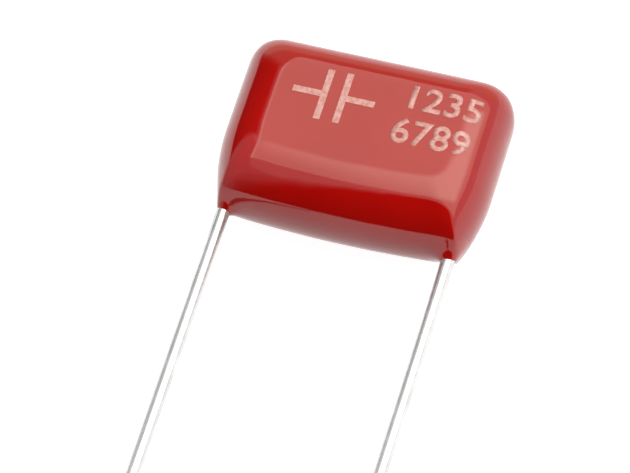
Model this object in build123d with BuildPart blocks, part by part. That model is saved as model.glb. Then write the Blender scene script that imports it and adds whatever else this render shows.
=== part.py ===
from build123d import *
from math import asin, cos, degrees, radians, sin, sqrt
import os

# A dipped film capacitor, in millimetres. A flat roll of metallised film has a sprayed metal
# face on each end, a wire lead is soldered to each face, and a skin of dipped epoxy covers
# all but the free wire. X runs along the roll, the leads leave towards -Y and the front is
# +Z. The origin is on the flat back, under the middle of the roll.

# Leads: round outside the skin, pressed flat where they lie on the sprayed faces
lead_pitch = 10.0
lead_diameter = 0.6
lead_free_length = 15.0
lead_tip_chamfer = 0.06
pressed_thickness = 0.3
pressed_width = 0.9
pressed_corner = 0.12
pressed_length = 5.4

# Roll of film, the slit that its flattened core leaves, and the sprayed faces
roll_height = 7.05
roll_thickness = 3.9
core_slit = 0.12
spray_thickness = 0.35
spray_edge_chamfer = 0.12

# Bead of solder over each pressed wire
bead_radius = 0.85
bead_height = 0.5
bead_below_wire_end = 1.9

# Skin: how far it stands off the roll on each side, and how its edges turn
face_coat = 0.45
lead_side_coat = 0.45
far_side_coat = 0.6
end_overhang = 1.0
end_round_depth = 1.9
far_edge_round = 1.8
far_corner_radius = 1.25
flat_corner_radius = 0.75
foot_corner_radius = 0.25
lean_above_flat = 1.0
lead_side_bow = 0.25
outlines_each_way = 6

# Neck of epoxy that climbs each wire
neck_length = 0.3
neck_root = 0.5
neck_tip_wall = 0.02
neck_root_wall = 0.15

# Sizes that follow from these
half_thickness = roll_thickness / 2 + face_coat
half_width = lead_pitch / 2 + end_overhang
lead_radius = lead_diameter / 2
roll_bottom = -roll_height / 2
lead_side = roll_bottom - lead_side_coat
board_side = lead_side - lead_side_bow
far_side = roll_height / 2 + far_side_coat
spray_face = (lead_pitch - pressed_thickness) / 2
roll_length = 2 * (spray_face - spray_thickness)
pressed_end = roll_bottom + pressed_length
bead_y = pressed_end - bead_below_wire_end
bead_sphere = (bead_radius**2 + bead_height**2) / (2 * bead_height)

# Towards the leads each end of the skin leans in along an arc, from upright at lean_top to
# the wire's outer side
lean_top = lead_side + half_thickness + lean_above_flat
lean = half_width - (lead_pitch / 2 + lead_radius)
lean_radius = ((lean_top - lead_side) ** 2 + lean**2) / (2 * lean)

middle = Plane.XY.offset(half_thickness)
sides = {"left": -1, "right": 1}


def roll_section():
    # The roll seen from its end, drawn in the sketch at hand: flat sides, full round turns
    with Locations((0, half_thickness)):
        SlotOverall(roll_height, roll_thickness)


def skin_outline(turn):
    # The skin's outline from the front, at the height where its surface has turned by this
    # angle from the middle plane, 0, to the flat front, 90, or the flat back, -90
    level = half_thickness * sin(radians(turn))
    turned = 1 - cos(radians(turn))
    past_strip = max(0.0, abs(level) - (half_thickness - far_edge_round))
    low = lead_side + half_thickness * turned
    high = far_side - far_edge_round + sqrt(far_edge_round**2 - past_strip**2)
    reach = half_width - end_round_depth * turned
    foot_corner = foot_corner_radius + (flat_corner_radius - foot_corner_radius) * turned
    far_corner = far_corner_radius + (flat_corner_radius - far_corner_radius) * turned
    arc_angle = degrees(asin((lean_top - low) / lean_radius))
    with BuildSketch(middle.offset(level)) as outline:
        with BuildLine():
            right = CenterArc((reach - lean_radius, lean_top), lean_radius, -arc_angle, arc_angle)
            left = CenterArc((lean_radius - reach, lean_top), lean_radius, 180, arc_angle)
            Polyline(right @ 1, (reach, high), (-reach, high), left @ 0)
            ThreePointArc(left @ 1, (0, low - lead_side_bow), right @ 0)
        make_face()
        fillet(outline.vertices().group_by(Axis.Y)[0], foot_corner)
        fillet(outline.vertices().group_by(Axis.Y)[-1], far_corner)
    return outline.sketch


def end_spray(side):
    # Sprayed metal over one end of the roll, with its outer edge broken
    with BuildPart() as spray:
        with BuildSketch(Plane.YZ.offset(side * roll_length / 2)):
            roll_section()
        extrude(amount=side * spray_thickness)
        outer_face = spray.faces().filter_by(Axis.X).sort_by(Axis.X)[0 if side < 0 else -1]
        chamfer(outer_face.edges(), spray_edge_chamfer)
    return spray.part


def lead(side):
    # One wire: the free round stretch, the short run where it flattens inside the skin, and
    # the pressed stretch on the sprayed face
    centre = (side * lead_pitch / 2, half_thickness)
    with BuildPart() as wire:
        with BuildSketch(Plane.XZ.offset(-board_side)):
            with Locations(centre):
                Circle(lead_radius)
        extrude(amount=lead_free_length)
        chamfer(wire.edges().group_by(Axis.Y)[0], lead_tip_chamfer)
        with BuildSketch(Plane.XZ.offset(-board_side)):
            with Locations(centre):
                Circle(lead_radius)
        with BuildSketch(Plane.XZ.offset(-roll_bottom)):
            with Locations(centre):
                RectangleRounded(pressed_thickness, pressed_width, pressed_corner)
        loft()
        with BuildSketch(Plane.XZ.offset(-pressed_end)):
            with Locations(centre):
                RectangleRounded(pressed_thickness, pressed_width, pressed_corner)
        extrude(amount=pressed_length)
    return wire.part


def solder_joint(side):
    # A low dome of solder on the sprayed face, run round the pressed wire
    with BuildPart() as bead:
        with Locations((side * (spray_face + bead_height - bead_sphere), bead_y, half_thickness)):
            Sphere(bead_sphere, rotation=(0, 90, 0))
        split(bisect_by=Plane.YZ.offset(side * spray_face), keep=Keep.TOP if side > 0 else Keep.BOTTOM)
        add(lead(side), mode=Mode.SUBTRACT)
    return bead.part


with BuildPart() as film_winding:
    with BuildSketch(Plane.YZ.offset(-roll_length / 2)):
        roll_section()
        with Locations((0, half_thickness)):
            SlotOverall(roll_height - roll_thickness, core_slit, mode=Mode.SUBTRACT)
    extrude(amount=roll_length)

pieces = {}
for name, side in sides.items():
    pieces[f"end_spray_{name}"] = end_spray(side)
    pieces[f"lead_{name}"] = lead(side)
    pieces[f"solder_joint_{name}"] = solder_joint(side)

with BuildPart() as epoxy_coating:
    for step in range(-outlines_each_way, outlines_each_way + 1):
        add(skin_outline(90 * step / outlines_each_way))
    loft()
    neck_tip = lead_side - neck_length
    with Locations([(side * lead_pitch / 2, neck_tip, half_thickness) for side in sides.values()]):
        Cone(
            lead_radius + neck_root_wall,
            lead_radius + neck_tip_wall,
            neck_root + neck_length,
            rotation=(90, 0, 0),
            align=(Align.CENTER, Align.CENTER, Align.MAX),
        )
    with BuildSketch(Plane.YZ.offset(-roll_length / 2)):
        roll_section()
    extrude(amount=roll_length, mode=Mode.SUBTRACT)
    add(pieces.values(), mode=Mode.SUBTRACT)

pieces["film_winding"] = film_winding.part
pieces["epoxy_coating"] = epoxy_coating.part

os.makedirs("parts", exist_ok=True)
for name, piece in pieces.items():
    piece.label = name
    export_step(piece, f"parts/{name}.step")
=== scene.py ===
import math

import bmesh
import bpy
from mathutils import Matrix, Vector, noise


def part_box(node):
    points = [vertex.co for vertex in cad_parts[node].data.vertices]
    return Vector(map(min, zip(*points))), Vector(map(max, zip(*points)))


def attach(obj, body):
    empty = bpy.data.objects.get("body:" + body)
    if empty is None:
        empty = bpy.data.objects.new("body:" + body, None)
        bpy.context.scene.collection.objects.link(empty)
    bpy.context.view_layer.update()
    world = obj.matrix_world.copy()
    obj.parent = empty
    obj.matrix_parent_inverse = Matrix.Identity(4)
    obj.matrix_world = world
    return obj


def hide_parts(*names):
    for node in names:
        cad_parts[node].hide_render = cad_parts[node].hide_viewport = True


# A flat film capacitor dipped in glossy red epoxy, lying on white paper under a soft box.
# The frame is in metres, with X along the roll, the wires towards -Y and the front on +Z.
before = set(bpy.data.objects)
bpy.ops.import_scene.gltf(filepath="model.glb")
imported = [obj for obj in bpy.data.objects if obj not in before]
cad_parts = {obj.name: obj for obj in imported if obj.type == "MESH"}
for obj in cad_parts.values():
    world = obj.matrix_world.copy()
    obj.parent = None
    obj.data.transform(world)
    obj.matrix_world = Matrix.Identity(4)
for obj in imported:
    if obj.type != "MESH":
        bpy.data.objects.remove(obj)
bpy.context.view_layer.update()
mm = 0.001
hair = 0.01 * mm                 # slack where vertices are picked by their place

skinLow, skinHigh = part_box("epoxy_coating")
wireBoxes = [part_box("lead_left"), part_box("lead_right")]
midHeight = (skinLow.z + skinHigh.z) / 2
frontHeight = skinHigh.z
wireAxes = [Vector(((low.x + high.x) / 2, 0, midHeight)) for low, high in wireBoxes]


def deselectAll():
    if bpy.context.object and bpy.context.object.mode != "OBJECT":
        bpy.ops.object.mode_set(mode="OBJECT")
    bpy.ops.object.select_all(action="DESELECT")


def pick(piece):
    deselectAll()
    piece.select_set(True)
    bpy.context.view_layer.objects.active = piece


def addPiece(name, addPrimitive, **values):
    deselectAll()
    addPrimitive(**values)
    piece = bpy.context.object
    piece.name = name
    piece.data.name = name
    return piece


def applyPlace(piece):
    pick(piece)
    bpy.ops.object.transform_apply(location=True, rotation=True, scale=True)


def finishWith(piece, kind, **values):
    pick(piece)
    modifier = piece.modifiers.new(kind.title(), kind)
    for name, value in values.items():
        setattr(modifier, name, value)
    bpy.ops.object.modifier_apply(modifier=modifier.name)


def editVertices(piece, wanted):
    # Opens the piece in edit mode with only the vertices selected whose place passes the test
    pick(piece)
    bpy.ops.object.mode_set(mode="EDIT")
    bpy.ops.mesh.select_mode(type="VERT")
    bpy.ops.mesh.select_all(action="DESELECT")
    shape = bmesh.from_edit_mesh(piece.data)
    for vertex in shape.verts:
        vertex.select = wanted(vertex.co)
    shape.select_flush_mode()
    bmesh.update_edit_mesh(piece.data)


def closeEdit():
    bpy.ops.object.mode_set(mode="OBJECT")


def smoothShade(piece):
    pick(piece)
    bpy.ops.object.shade_smooth()


def wireDistance(place):
    # From the nearer wire's axis, seen along the wires
    return min(math.hypot(place.x - axis.x, place.z - axis.z) for axis in wireAxes)


# Shader groups that more than one finish uses

def newGroup(name, inputs, outputs):
    group = bpy.data.node_groups.new(name, "ShaderNodeTree")
    for label, value in inputs.items():
        group.interface.new_socket(label, in_out="INPUT", socket_type="NodeSocketFloat").default_value = value
    for label in outputs:
        group.interface.new_socket(label, in_out="OUTPUT", socket_type="NodeSocketFloat")
    start = group.nodes.new("NodeGroupInput")
    end = group.nodes.new("NodeGroupOutput")
    start.location = (-800, 0)
    end.location = (700, 0)
    return group, start, end


def addNode(tree, kind, place, **values):
    node = tree.nodes.new(kind)
    node.location = place
    for name, value in values.items():
        setattr(node, name, value)
    return node


def makeDriftGroup():
    # Slow change over the surface, from 0 to 1: tint, haze and tarnish follow it
    group, start, end = newGroup("slowDrift", {"Scale": 400.0, "Contrast": 1.0}, ["Drift"])
    place = addNode(group, "ShaderNodeTexCoord", (-800, -250))
    cloud = addNode(group, "ShaderNodeTexNoise", (-500, 0))
    cloud.inputs["Detail"].default_value = 3.0
    spread = addNode(group, "ShaderNodeMath", (-250, 0), operation="SUBTRACT")
    spread.inputs[1].default_value = 0.5
    scaled = addNode(group, "ShaderNodeMath", (0, 0), operation="MULTIPLY")
    centred = addNode(group, "ShaderNodeMath", (250, 0), operation="ADD", use_clamp=True)
    centred.inputs[1].default_value = 0.5
    group.links.new(place.outputs["Object"], cloud.inputs["Vector"])
    group.links.new(start.outputs["Scale"], cloud.inputs["Scale"])
    group.links.new(cloud.outputs["Fac"], spread.inputs[0])
    group.links.new(spread.outputs[0], scaled.inputs[0])
    group.links.new(start.outputs["Contrast"], scaled.inputs[1])
    group.links.new(scaled.outputs[0], centred.inputs[0])
    group.links.new(centred.outputs[0], end.inputs["Drift"])
    return group


def makeGrainGroup():
    # Fine grain, drawn out along Y by the Stretch value
    group, start, end = newGroup("fineGrain", {"Scale": 9000.0, "Stretch": 1.0}, ["Grain"])
    place = addNode(group, "ShaderNodeTexCoord", (-800, -250))
    split = addNode(group, "ShaderNodeSeparateXYZ", (-600, -250))
    drawn = addNode(group, "ShaderNodeMath", (-400, -300), operation="DIVIDE")
    joined = addNode(group, "ShaderNodeCombineXYZ", (-200, -250))
    speckle = addNode(group, "ShaderNodeTexNoise", (100, 0))
    speckle.inputs["Detail"].default_value = 2.0
    group.links.new(place.outputs["Object"], split.inputs[0])
    group.links.new(split.outputs["Y"], drawn.inputs[0])
    group.links.new(start.outputs["Stretch"], drawn.inputs[1])
    group.links.new(split.outputs["X"], joined.inputs["X"])
    group.links.new(drawn.outputs[0], joined.inputs["Y"])
    group.links.new(split.outputs["Z"], joined.inputs["Z"])
    group.links.new(joined.outputs[0], speckle.inputs["Vector"])
    group.links.new(start.outputs["Scale"], speckle.inputs["Scale"])
    group.links.new(speckle.outputs["Fac"], end.inputs["Grain"])
    return group


driftGroup = makeDriftGroup()
grainGroup = makeGrainGroup()


def startMaterial(name, **plain):
    # A new material with its Principled shader, and plain values set on the shader's sockets
    material = bpy.data.materials.new(name)
    material.use_nodes = True
    shader = material.node_tree.nodes["Principled BSDF"]
    for label, value in plain.items():
        shader.inputs[label].default_value = value
    return material, material.node_tree, shader


def placeGroup(tree, group, place, **values):
    node = addNode(tree, "ShaderNodeGroup", place)
    node.node_tree = group
    for label, value in values.items():
        node.inputs[label].default_value = value
    return node


def mapRange(tree, source, low, high, place):
    node = addNode(tree, "ShaderNodeMapRange", place)
    node.inputs["To Min"].default_value = low
    node.inputs["To Max"].default_value = high
    tree.links.new(source, node.inputs["Value"])
    return node.outputs["Result"]


def mixColours(tree, mask, first, second, place):
    node = addNode(tree, "ShaderNodeMix", place, data_type="RGBA")
    for socket, colour in (("A", first), ("B", second)):
        target = next(i for i in node.inputs if i.name == socket and i.type == "RGBA")
        target.default_value = (*colour, 1.0)
    tree.links.new(mask, node.inputs["Factor"])
    return next(o for o in node.outputs if o.type == "RGBA")


def addBump(tree, shader, height, strength, distance, place):
    bump = addNode(tree, "ShaderNodeBump", place)
    bump.inputs["Strength"].default_value = strength
    bump.inputs["Distance"].default_value = distance
    tree.links.new(height, bump.inputs["Height"])
    tree.links.new(bump.outputs["Normal"], shader.inputs["Normal"])


# Epoxy skin

skinStyle = {
    "cell": 0.4 * mm,            # grid of the first rough block
    "smoothPasses": 5,
    "smoothFactors": (0.5, -0.53),
    "subdivisions": 2,
    "neckReach": 0.75 * mm,      # round each wire, where the block is smoothed before the neck
    "neckSmoothing": 6,
    "neckFactor": 0.5,
    "neckHeight": 1.1 * mm,
    "neckClimb": 0.16 * mm,      # how far the epoxy climbs down each wire
    "neckFade": 0.2 * mm,
    "waveHeight": 0.006 * mm,    # slow unevenness of a dipped surface
    "waveLength": 2.2 * mm,
    "deepRed": (0.40, 0.0030, 0.0022),
    "warmRed": (0.46, 0.0048, 0.0026),
    "tint": {"Scale": 260.0, "Contrast": 1.6},
    "roughness": (0.045, 0.075),
    "ior": 1.55,
    "ripple": {"Scale": 1400.0, "Stretch": 1.0},
    "rippleStrength": 0.12,
    "rippleDepth": 0.004 * mm,
}


def makeEpoxy():
    style = skinStyle
    material, tree, shader = startMaterial("redEpoxy", IOR=style["ior"])
    drift = placeGroup(tree, driftGroup, (-700, 200), **style["tint"])
    tint = mixColours(tree, drift.outputs["Drift"], style["deepRed"], style["warmRed"], (-400, 250))
    tree.links.new(tint, shader.inputs["Base Color"])
    rough = mapRange(tree, drift.outputs["Drift"], *style["roughness"], (-400, 0))
    tree.links.new(rough, shader.inputs["Roughness"])
    ripple = placeGroup(tree, grainGroup, (-700, -300), **style["ripple"])
    strength, depth = style["rippleStrength"], style["rippleDepth"]
    addBump(tree, shader, ripple.outputs["Grain"], strength, depth, (-300, -300))
    return material


def makeSkin():
    style = skinStyle
    size = skinHigh - skinLow
    piece = addPiece(
        "epoxySkin",
        bpy.ops.mesh.primitive_cube_add,
        size=1.0,
        location=(skinLow + skinHigh) / 2,
    )
    piece.scale = size
    applyPlace(piece)
    pick(piece)
    bpy.ops.object.mode_set(mode="EDIT")
    for axis in range(3):
        count = round(size[axis] / style["cell"])
        normal = Vector((axis == 0, axis == 1, axis == 2))
        for cut in range(1, count):
            bpy.ops.mesh.select_all(action="SELECT")
            bpy.ops.mesh.bisect(plane_co=skinLow + normal * (size[axis] * cut / count), plane_no=normal)
    closeEdit()
    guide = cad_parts["epoxy_coating"]
    finishWith(piece, "SHRINKWRAP", target=guide, wrap_method="NEAREST_SURFACEPOINT")
    editVertices(
        piece,
        lambda place: wireDistance(place) < style["neckReach"] and place.y < skinLow.y + style["neckHeight"],
    )
    bpy.ops.mesh.vertices_smooth(factor=style["neckFactor"], repeat=style["neckSmoothing"])
    closeEdit()
    for _ in range(style["smoothPasses"]):
        for factor in style["smoothFactors"]:
            finishWith(piece, "SMOOTH", factor=factor, iterations=1)
    finishWith(piece, "SUBSURF", levels=style["subdivisions"], render_levels=style["subdivisions"])
    shapeSkin(piece)
    smoothShade(piece)
    piece.data.materials.clear()
    piece.data.materials.append(makeEpoxy())
    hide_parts("epoxy_coating")
    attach(piece, "root")
    print("skin", len(piece.data.polygons), "faces")
    return piece


def shapeSkin(piece):
    # Slow unevenness over the whole skin, then the neck that climbs each wire
    style = skinStyle
    wireRadius = (wireBoxes[0][1].x - wireBoxes[0][0].x) / 2
    normals = [vertex.normal.copy() for vertex in piece.data.vertices]
    for vertex, normal in zip(piece.data.vertices, normals):
        wave = noise.noise(vertex.co / style["waveLength"])
        vertex.co -= normal * abs(wave) * style["waveHeight"]
    for vertex in piece.data.vertices:
        if vertex.co.y > skinLow.y + style["neckHeight"]:
            continue
        outside = max(0.0, wireDistance(vertex.co) - wireRadius)
        vertex.co.y -= style["neckClimb"] * math.exp(-outside / style["neckFade"])
    piece.data.update()


# Wires

wireStyle = {
    "sides": 48,
    "flattenRun": 0.45 * mm,     # stretch inside the skin in which the round wire flattens
    "pressedThin": 0.5,          # pressed thickness, as a share of the diameter
    "tipBevel": 0.06 * mm,
    "tipSegments": 3,
    "smoothAngle": 35.0,
    "metallic": 0.75,
    "base": (0.78, 0.78, 0.80),
    "tarnish": (0.58, 0.58, 0.59),
    "tint": {"Scale": 900.0, "Contrast": 2.0},
    "roughness": (0.20, 0.32),
    "drawLines": {"Scale": 12000.0, "Stretch": 25.0},
    "lineStrength": 0.25,
    "lineDepth": 0.004 * mm,
}


def makeTin():
    style = wireStyle
    material, tree, shader = startMaterial("tinnedWire", Metallic=style["metallic"])
    drift = placeGroup(tree, driftGroup, (-700, 200), **style["tint"])
    tint = mixColours(tree, drift.outputs["Drift"], style["base"], style["tarnish"], (-400, 250))
    tree.links.new(tint, shader.inputs["Base Color"])
    lines = placeGroup(tree, grainGroup, (-700, -200), **style["drawLines"])
    rough = mapRange(tree, lines.outputs["Grain"], *style["roughness"], (-400, 0))
    tree.links.new(rough, shader.inputs["Roughness"])
    addBump(tree, shader, lines.outputs["Grain"], style["lineStrength"], style["lineDepth"], (-300, -250))
    return material


def makeWire(name, node, tin):
    # A round wire from its cut tip to the skin, then pressed flat where it lies on the roll's end
    style = wireStyle
    low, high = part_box(node)
    centre = (low + high) / 2
    radius = (high.x - low.x) / 2
    pressedWide = (high.z - low.z) / (2 * radius)
    rootPlace = skinLow.y + skinStyle["neckClimb"]
    flatPlace = rootPlace + style["flattenRun"]
    piece = addPiece(
        name,
        bpy.ops.mesh.primitive_cylinder_add,
        vertices=style["sides"],
        radius=radius,
        depth=rootPlace - low.y,
        location=(centre.x, (rootPlace + low.y) / 2, centre.z),
        rotation=(math.radians(90), 0, 0),
    )
    applyPlace(piece)
    editVertices(piece, lambda place: place.y > rootPlace - hair)
    bpy.ops.mesh.extrude_region_move(TRANSFORM_OT_translate={"value": (0, flatPlace - rootPlace, 0)})
    bpy.ops.transform.resize(
        value=(style["pressedThin"], 1, pressedWide),
        center_override=(centre.x, flatPlace, centre.z),
    )
    bpy.ops.mesh.extrude_region_move(TRANSFORM_OT_translate={"value": (0, high.y - flatPlace, 0)})
    closeEdit()
    editVertices(piece, lambda place: place.y < low.y + hair)
    bpy.ops.mesh.bevel(offset=style["tipBevel"], segments=style["tipSegments"], affect="EDGES")
    closeEdit()
    pick(piece)
    bpy.ops.object.shade_smooth_by_angle(angle=math.radians(style["smoothAngle"]))
    piece.data.materials.clear()
    piece.data.materials.append(tin)
    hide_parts(node)
    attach(piece, "root")


# Inner pieces keep their CAD meshes and get their finishes

filmStyle = {
    "metallic": 0.6,
    "roughness": 0.4,
    "layers": {"Scale": 6000.0, "Stretch": 30.0},
    "dark": (0.55, 0.56, 0.58),
    "light": (0.72, 0.73, 0.75),
}

sprayStyle = {
    "metallic": 0.8,
    "grain": {"Scale": 9000.0, "Stretch": 1.0},
    "dark": (0.38, 0.38, 0.39),
    "light": (0.62, 0.62, 0.61),
    "roughness": (0.55, 0.8),
    "grainStrength": 0.6,
    "grainDepth": 0.02 * mm,
}

solderStyle = {
    "metallic": 1.0,
    "tint": {"Scale": 1500.0, "Contrast": 1.5},
    "bright": (0.70, 0.70, 0.69),
    "dull": (0.52, 0.52, 0.52),
    "roughness": (0.25, 0.45),
}


def makeFilm():
    style = filmStyle
    plain = {"Metallic": style["metallic"], "Roughness": style["roughness"]}
    material, tree, shader = startMaterial("metallisedFilm", **plain)
    layers = placeGroup(tree, grainGroup, (-700, 0), **style["layers"])
    tint = mixColours(tree, layers.outputs["Grain"], style["dark"], style["light"], (-400, 200))
    tree.links.new(tint, shader.inputs["Base Color"])
    return material


def makeSpray():
    style = sprayStyle
    material, tree, shader = startMaterial("sprayedZinc", Metallic=style["metallic"])
    grain = placeGroup(tree, grainGroup, (-700, 0), **style["grain"])
    tint = mixColours(tree, grain.outputs["Grain"], style["dark"], style["light"], (-400, 200))
    tree.links.new(tint, shader.inputs["Base Color"])
    rough = mapRange(tree, grain.outputs["Grain"], *style["roughness"], (-400, 0))
    tree.links.new(rough, shader.inputs["Roughness"])
    strength, depth = style["grainStrength"], style["grainDepth"]
    addBump(tree, shader, grain.outputs["Grain"], strength, depth, (-300, -250))
    return material


def makeSolder():
    style = solderStyle
    material, tree, shader = startMaterial("solder", Metallic=style["metallic"])
    drift = placeGroup(tree, driftGroup, (-700, 0), **style["tint"])
    tint = mixColours(tree, drift.outputs["Drift"], style["bright"], style["dull"], (-400, 200))
    tree.links.new(tint, shader.inputs["Base Color"])
    rough = mapRange(tree, drift.outputs["Drift"], *style["roughness"], (-400, 0))
    tree.links.new(rough, shader.inputs["Roughness"])
    return material


def dressInside():
    finishes = {"film": makeFilm(), "end_spray": makeSpray(), "solder": makeSolder()}
    for name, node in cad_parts.items():
        for start, material in finishes.items():
            if name.startswith(start):
                node.data.materials.clear()
                node.data.materials.append(material)
    print("inner pieces dressed")


# Printed marking: two plates with their leads, and plain numbers

markStyle = {
    "thickness": 0.008 * mm,
    "cell": 0.12 * mm,                           # grid that lets the ink follow the skin's turn
    "rows": {                                    # lower left corner, width and height of each row
        "1235": (1.78 * mm, 1.32 * mm, 3.15 * mm, 1.2 * mm),
        "6789": (1.42 * mm, -0.41 * mm, 3.4 * mm, 1.27 * mm),
    },
    "bold": 0.022,
    "letterSpace": 1.04,
    "startLift": 1 * mm,                         # above the front, before it is laid onto the skin
    "weldDistance": 0.0005 * mm,
    "skinGap": 0.001 * mm,
    "symbolCentre": (-1.45 * mm, 1.15 * mm),
    "plateHeight": 2.5 * mm,
    "plateGap": 0.85 * mm,
    "stroke": 0.29 * mm,
    "leadLength": 1.25 * mm,
    "ink": (0.74, 0.42, 0.40),
    "thinInk": (0.58, 0.22, 0.19),
    "wearGrain": {"Scale": 5200.0, "Stretch": 1.0},
    "wearRange": (-1.1, 1.9),                    # steepens the grain, so that the ink looks speckled
    "roughness": 0.22,
    "ior": 1.5,
}


def makeInk():
    style = markStyle
    material, tree, shader = startMaterial("paleInk", Roughness=style["roughness"], IOR=style["ior"])
    grain = placeGroup(tree, grainGroup, (-700, 0), **style["wearGrain"])
    worn = mapRange(tree, grain.outputs["Grain"], *style["wearRange"], (-500, 0))
    tint = mixColours(tree, worn, style["thinInk"], style["ink"], (-300, 200))
    tree.links.new(tint, shader.inputs["Base Color"])
    return material


def addRow(text, left, low, width, height):
    # One row of digits, filled flat and fitted to its box
    style = markStyle
    deselectAll()
    bpy.ops.object.text_add(location=(0, 0, 0))
    piece = bpy.context.object
    piece.name = "row" + text
    piece.data.body = text
    piece.data.size = 1.0
    piece.data.offset = style["bold"]
    piece.data.space_character = style["letterSpace"]
    pick(piece)
    bpy.ops.object.convert(target="MESH")
    piece = bpy.context.object
    corners = [vertex.co for vertex in piece.data.vertices]
    lowX, highX = min(c.x for c in corners), max(c.x for c in corners)
    lowY, highY = min(c.y for c in corners), max(c.y for c in corners)
    scaleX, scaleY = width / (highX - lowX), height / (highY - lowY)
    piece.scale = (scaleX, scaleY, 1)
    piece.location = (left - lowX * scaleX, low - lowY * scaleY, frontHeight + style["startLift"])
    return piece


def addSymbol():
    # Each half of the symbol is one outline: a plate with its lead, as a flat T on its side
    style = markStyle
    centre, middle = style["symbolCentre"]
    halves = []
    for side in (-1, 1):
        piece = addPiece(
            "plate",
            bpy.ops.mesh.primitive_plane_add,
            size=1.0,
            location=(centre + side * style["plateGap"] / 2, middle, frontHeight + style["startLift"]),
        )
        piece.scale = (style["stroke"], style["plateHeight"], 1)
        applyPlace(piece)
        pick(piece)
        bpy.ops.object.mode_set(mode="EDIT")
        for edge in (-0.5, 0.5):
            bpy.ops.mesh.select_all(action="SELECT")
            bpy.ops.mesh.bisect(
                plane_co=(0, middle + edge * style["stroke"], 0),
                plane_no=(0, 1, 0),
            )
        closeEdit()
        outer = max(side * vertex.co.x for vertex in piece.data.vertices) - hair
        editVertices(
            piece,
            lambda place: side * place.x > outer and abs(place.y - middle) < style["stroke"],
        )
        run = (side * style["leadLength"], 0, 0)
        bpy.ops.mesh.extrude_region_move(TRANSFORM_OT_translate={"value": run})
        closeEdit()
        halves.append(piece)
    return halves


def makeMarking(skin):
    style = markStyle
    parts = [addRow(text, *box) for text, box in style["rows"].items()] + addSymbol()
    for part in parts:
        applyPlace(part)
    deselectAll()
    for part in parts:
        part.select_set(True)
    bpy.context.view_layer.objects.active = parts[0]
    bpy.ops.object.join()
    marking = bpy.context.object
    marking.name = "printedMarking"
    marking.data.name = "printedMarking"
    pick(marking)
    bpy.ops.object.mode_set(mode="EDIT")
    bpy.ops.mesh.select_all(action="SELECT")
    bpy.ops.mesh.remove_doubles(threshold=style["weldDistance"])
    for axis in range(2):
        low = min(vertex.co[axis] for vertex in marking.data.vertices)
        high = max(vertex.co[axis] for vertex in marking.data.vertices)
        count = math.ceil((high - low) / style["cell"])
        for cut in range(1, count):
            place = Vector((0, 0, 0))
            place[axis] = low + (high - low) * cut / count
            bpy.ops.mesh.select_all(action="SELECT")
            bpy.ops.mesh.bisect(plane_co=place, plane_no=(axis == 0, axis == 1, 0))
    bpy.ops.mesh.select_mode(type="FACE")
    shape = bmesh.from_edit_mesh(marking.data)
    for face in shape.faces:
        face.select = face.normal.z < 0
    bmesh.update_edit_mesh(marking.data)
    bpy.ops.mesh.flip_normals()
    closeEdit()
    finishWith(
        marking,
        "SHRINKWRAP",
        target=skin,
        wrap_method="PROJECT",
        use_project_z=True,
        use_negative_direction=True,
        use_positive_direction=False,
        offset=style["skinGap"],
    )
    finishWith(marking, "SOLIDIFY", thickness=style["thickness"], offset=1.0)
    marking.data.materials.clear()
    marking.data.materials.append(makeInk())
    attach(marking, "root")
    print("marking", len(marking.data.polygons), "faces")


# Studio: a sheet of white paper, a soft box overhead, weak fills, and cards that only show in gloss, as
# painted reflections and painted dark

studioStyle = {
    "paperWidth": 3.0,
    "paperDepth": 3.0,
    "paperColour": (0.48, 0.48, 0.48),
    "paperGlow": 0.93,
    "boxHeight": 0.30,
    "boxLeft": -0.38,            # edges of the soft box, as shares of its height
    "boxRight": 2.7,
    "boxNear": -0.225,
    "boxFar": 0.75,
    "boxGlossFar": 1.42,         # how far its face goes on in the gloss, as a painted reflection on a card
    "boxGlossDrop": 0.5 * mm,    # how far that card hangs below the lamp
    "boxRadiance": 2.15,
    "lampColour": (1.0, 0.985, 0.86),
    "fillSize": 0.25,
    "fills": {                   # places, and shares of a plain level on a surface that faces them
        "leftFill": ((-0.20, 0.02, 0.40), 0.15),
        "rightFill": ((0.35, 0.05, 0.30), 0.22),
        "nearFill": ((-0.05, -0.40, 0.02), 0.08),
    },
    "airLight": (0.22, 0.22, 0.23),
}

# Cards: planes that only show where something mirrors them; they light nothing and cast no shadow, so glowing
# cards are painted reflections and black ones paint dark into the gloss.
# Fades are shares of the width, left and right, and of the height, low and high. A card covers what is behind
# it or adds to it.
sharp = (0.001, 0.001)

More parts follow.
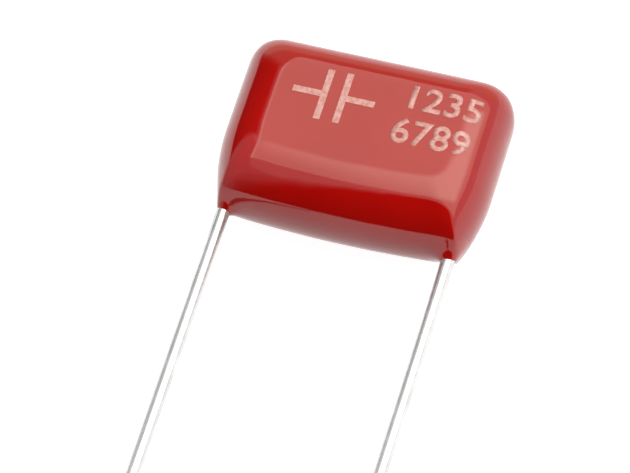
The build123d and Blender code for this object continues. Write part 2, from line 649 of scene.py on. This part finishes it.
cardStyle = {
    "paintedHighlightCore": {              # painted highlight: a glowing card that brightens the soft box's middle in the gloss only; the lamp itself is even
        "middle": (0.255, 0.130, 0.299),
        "size": (0.75, 0.222),
        "turns": (0, 0, 19),
        "colour": (2.1, 2.07, 1.8),
        "sideFades": (0.16, 0.4),
        "endFades": (0.22, 0.14),
        "covers": False,
    },
    "paintedDarkLampBack": {                # painted dark: a black card above the soft box, seen only in gloss
        "middle": (0.36, 0.185, 0.31),
        "size": (0.936, 0.506),
        "colour": (0.0, 0.0, 0.0),
        "sideFades": (0.005, 0.005),
        "endFades": (0.005, 0.005),
    },
    # painted reflection: a grey glowing card on the left, seen only in gloss, that lights nothing
    "paintedLeftWallGlow": {
        "middle": (-0.12, -0.09, 0.165),
        "size": (0.38, 0.33),
        "turns": (90, 0, 90),
        "colour": (0.63, 0.63, 0.64),
        "sideFades": (0.02, 0.02),
        "endFades": (0.01, 0.02),
    },
    "paintedDarkLeftStrip": {                # painted dark in the gloss: a black strip at the left card's far end, tilted in its plane
        "middle": (-0.11, 0.108, 0.13),
        "size": (0.085, 0.36),
        "turns": (90, 21, 90),
        "colour": (0.04, 0.04, 0.04),
        "sideFades": (0.12, 0.6),
        "endFades": (0.02, 0.3),
    },
    "paintedFarGreyGlow": {                 # painted reflection: grey glow, high behind the part on the left, seen only in gloss
        "middle": (-0.285, 0.40, 0.38),
        "size": (0.63, 0.44),
        "turns": (90, 0, 0),
        "colour": (0.60, 0.60, 0.50),
        "sideFades": (0.02, 0.1),
        "endFades": (0.05, 0.02),
    },
    "paintedFarLowGlow": {                  # painted reflection: warm glow, low, all along the far side, seen only in gloss
        "middle": (-0.10, 0.41, 0.10),
        "size": (1.00, 0.20),
        "turns": (90, 0, 0),
        "colour": (1.0, 1.0, 0.78),
        "sideFades": (0.02, 0.02),
        "endFades": (0.02, 0.15),
    },
    "paintedDarkNearSide": {                # painted dark in the gloss: black, on the side of the wires
        "middle": (0.0585, -0.10, 0.153),
        "size": (0.227, 0.306),
        "turns": (90, 0, 0),
        "colour": (0.0, 0.0, 0.0),
        "sideFades": (0.09, 0.05),
        "endFades": (0.012, 0.01),
    },
}


def makePaper():
    style = studioStyle
    paper = addPiece("paper", bpy.ops.mesh.primitive_plane_add, size=1.0, location=(0, 0, 0))
    paper.scale = (style["paperWidth"], style["paperDepth"], 1)
    applyPlace(paper)
    material = bpy.data.materials.new("whitePaper")
    material.use_nodes = True
    tree = material.node_tree
    tree.nodes.clear()
    output = addNode(tree, "ShaderNodeOutputMaterial", (600, 0))
    plain = addNode(tree, "ShaderNodeBsdfDiffuse", (0, 100))
    plain.inputs["Color"].default_value = (*style["paperColour"], 1.0)
    strength = addNode(tree, "ShaderNodeMath", (0, -200), operation="MULTIPLY")
    strength.inputs[1].default_value = style["paperGlow"]
    glow = addNode(tree, "ShaderNodeEmission", (200, -100))
    both = addNode(tree, "ShaderNodeAddShader", (400, 0))
    tree.links.new(seenRays(tree), strength.inputs[0])
    tree.links.new(strength.outputs[0], glow.inputs["Strength"])
    tree.links.new(plain.outputs[0], both.inputs[0])
    tree.links.new(glow.outputs[0], both.inputs[1])
    tree.links.new(both.outputs[0], output.inputs["Surface"])
    paper.data.materials.append(material)


def seenRays(tree):
    # 1 for rays that come from the camera or from a mirroring or clear surface, 0 for others
    rays = addNode(tree, "ShaderNodeLightPath", (-600, -200))
    seen = addNode(tree, "ShaderNodeMath", (-400, -200), operation="ADD")
    mirrored = addNode(tree, "ShaderNodeMath", (-200, -200), operation="ADD", use_clamp=True)
    tree.links.new(rays.outputs["Is Camera Ray"], seen.inputs[0])
    tree.links.new(rays.outputs["Is Glossy Ray"], seen.inputs[1])
    tree.links.new(seen.outputs[0], mirrored.inputs[0])
    tree.links.new(rays.outputs["Is Transmission Ray"], mirrored.inputs[1])
    return mirrored.outputs[0]


def addSoftBox(left, right, near, far, height):
    # A flat lamp that faces down, and a glowing card, seen only in gloss, that paints a reflection of its
    # face on beyond its far edge
    style = studioStyle
    width = right - left
    depth = far - near
    deselectAll()
    bpy.ops.object.light_add(type="AREA", location=((left + right) / 2, (near + far) / 2, height))
    lamp = bpy.context.object
    lamp.name = "softBox"
    lamp.data.shape = "RECTANGLE"
    lamp.data.size = width
    lamp.data.size_y = depth
    lamp.data.color = style["lampColour"]
    lamp.data.energy = style["boxRadiance"] * math.pi * width * depth
    lamp.visible_camera = False
    glossFar = style["boxGlossFar"] * height
    addCard(
        "paintedLampFarReflection",
        middle=((left + right) / 2, (far + glossFar) / 2, height - style["boxGlossDrop"]),
        size=(width, glossFar - far),
        colour=[style["boxRadiance"] * share for share in style["lampColour"]],
    )


def addFill(name, place, level):
    # A weak soft lamp that the gloss doesn't show. At level 1, white that faces it comes out white
    style = studioStyle
    place = Vector(place)
    deselectAll()
    bpy.ops.object.light_add(type="AREA", location=place)
    lamp = bpy.context.object
    lamp.name = name
    lamp.rotation_euler = (-place).to_track_quat("-Z", "Y").to_euler()
    lamp.data.shape = "SQUARE"
    lamp.data.size = style["fillSize"]
    lamp.data.energy = level * math.pi * math.pi * place.length_squared
    lamp.visible_camera = False
    lamp.visible_glossy = False


def addCard(name, middle, size, colour, turns=(0, 0, 0), sideFades=sharp, endFades=sharp, covers=True):
    card = addPiece(
        name,
        bpy.ops.mesh.primitive_plane_add,
        size=1.0,
        location=middle,
        rotation=[math.radians(turn) for turn in turns],
    )
    card.scale = (size[0], size[1], 1)
    applyPlace(card)
    material = bpy.data.materials.new(name)
    material.use_nodes = True
    tree = material.node_tree
    tree.nodes.clear()
    output = addNode(tree, "ShaderNodeOutputMaterial", (900, 0))
    place = addNode(tree, "ShaderNodeTexCoord", (-900, 0))
    split = addNode(tree, "ShaderNodeSeparateXYZ", (-700, 0))
    tree.links.new(place.outputs["UV"], split.inputs[0])
    fades = (
        ("X", 0.0, sideFades[0]),
        ("X", 1.0, -sideFades[1]),
        ("Y", 0.0, endFades[0]),
        ("Y", 1.0, -endFades[1]),
    )
    cover = None
    for row, (axis, edge, fade) in enumerate(fades):
        ramp = addNode(tree, "ShaderNodeMapRange", (-450, 400 - 280 * row), interpolation_type="SMOOTHSTEP")
        ramp.inputs["From Min"].default_value = edge
        ramp.inputs["From Max"].default_value = edge + fade
        tree.links.new(split.outputs[axis], ramp.inputs["Value"])
        if cover is None:
            cover = ramp.outputs["Result"]
        else:
            times = addNode(tree, "ShaderNodeMath", (-450 + 200 * row, 200 - 200 * row), operation="MULTIPLY")
            tree.links.new(cover, times.inputs[0])
            tree.links.new(ramp.outputs["Result"], times.inputs[1])
            cover = times.outputs[0]
    clear = addNode(tree, "ShaderNodeBsdfTransparent", (300, 100))
    face = addNode(tree, "ShaderNodeEmission", (300, -100))
    face.inputs["Color"].default_value = (*colour, 1.0)
    if covers:
        blend = addNode(tree, "ShaderNodeMixShader", (600, 0))
        tree.links.new(cover, blend.inputs["Fac"])
        tree.links.new(clear.outputs[0], blend.inputs[1])
        tree.links.new(face.outputs[0], blend.inputs[2])
    else:
        blend = addNode(tree, "ShaderNodeAddShader", (600, 0))
        tree.links.new(cover, face.inputs["Strength"])
        tree.links.new(clear.outputs[0], blend.inputs[0])
        tree.links.new(face.outputs[0], blend.inputs[1])
    tree.links.new(blend.outputs[0], output.inputs["Surface"])
    card.data.materials.append(material)
    # Seen only in gloss: the card lights nothing and casts no shadow, so its colour is a painted reflection
    # or painted dark
    card.visible_camera = False
    card.visible_diffuse = False
    card.visible_shadow = False


def makeStudio():
    style = studioStyle
    makePaper()
    height = style["boxHeight"]
    addSoftBox(*(style[edge] * height for edge in ("boxLeft", "boxRight", "boxNear", "boxFar")), height)
    for name, values in style["fills"].items():
        addFill(name, *values)
    for name, values in cardStyle.items():
        addCard(name, **values)
    world = bpy.data.worlds.new("studioWalls")
    bpy.context.scene.world = world
    world.use_nodes = True
    tree = world.node_tree
    back = tree.nodes["Background"]
    white = mixColours(tree, seenRays(tree), style["airLight"], (1.0, 1.0, 1.0), (0, 0))
    tree.links.new(white, back.inputs["Color"])
    bpy.context.scene.view_settings.view_transform = "Standard"
    print("studio lit")


# Camera: looks down on the front from the right of the wires

cameraStyle = {
    "azimuth": 23.15,
    "elevation": 60.0,
    "distance": 196 * mm,
    "looksFrom": (0.0, 0.075 * mm, 2.4 * mm),    # the body's middle, which the angles turn about
    "looksAt": (-1.21 * mm, -3.56 * mm, 0.75 * mm),
    "roll": -9.22,
    "lens": 260.2,
    "sensor": 36.0,
    "sees": (1 * mm, 10.0),                      # nearest and farthest distance that it shows
}


def makeCamera():
    style = cameraStyle
    azimuth = math.radians(style["azimuth"])
    elevation = math.radians(style["elevation"])
    out = Vector((
        math.sin(azimuth) * math.cos(elevation),
        -math.cos(azimuth) * math.cos(elevation),
        math.sin(elevation),
    ))
    place = Vector(style["looksFrom"]) + out * style["distance"]
    aim = (Vector(style["looksAt"]) - place).to_track_quat("-Z", "Y").to_matrix().to_4x4()
    deselectAll()
    bpy.ops.object.camera_add()
    camera = bpy.context.object
    roll = Matrix.Rotation(math.radians(style["roll"]), 4, "Z")
    camera.matrix_world = Matrix.Translation(place) @ aim @ roll
    camera.data.lens = style["lens"]
    camera.data.sensor_width = style["sensor"]
    camera.data.clip_start, camera.data.clip_end = style["sees"]
    bpy.context.scene.camera = camera
    print("camera placed")


skin = makeSkin()
tin = makeTin()
for side in ("left", "right"):
    makeWire("wire" + side.title(), "lead_" + side, tin)
print("wires made")
dressInside()
makeMarking(skin)
makeStudio()
makeCamera()
